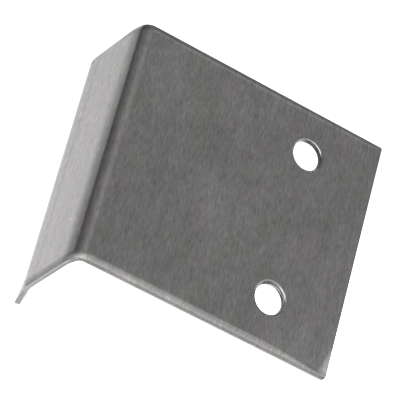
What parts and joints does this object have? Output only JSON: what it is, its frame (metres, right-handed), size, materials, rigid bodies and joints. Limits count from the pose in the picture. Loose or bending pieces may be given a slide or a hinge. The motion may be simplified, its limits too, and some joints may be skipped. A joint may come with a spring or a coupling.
{
  "type": "cutting board clip",
  "caption": "Folded stainless sheet clip: a flat plate with screw holes, a right-angle flange and a lip that leans in, to hook the edge of a board or panel.",
  "frame": {"origin": "midway between the screw holes, on the plate's inner face, which seats on the board", "axes": "+X from the fold to the plate's free edge, +Y along the fold, +Z out of the plate's outer face, so the flange hangs down"},
  "size_m": [0.0545, 0.0508, 0.0275],
  "materials": {
    "brushed_stainless": "brushed along the folds, with rolled edges"
  },
  "bodies": {
    "root": {"clip": "brushed_stainless"}
  },
  "joints": []
}
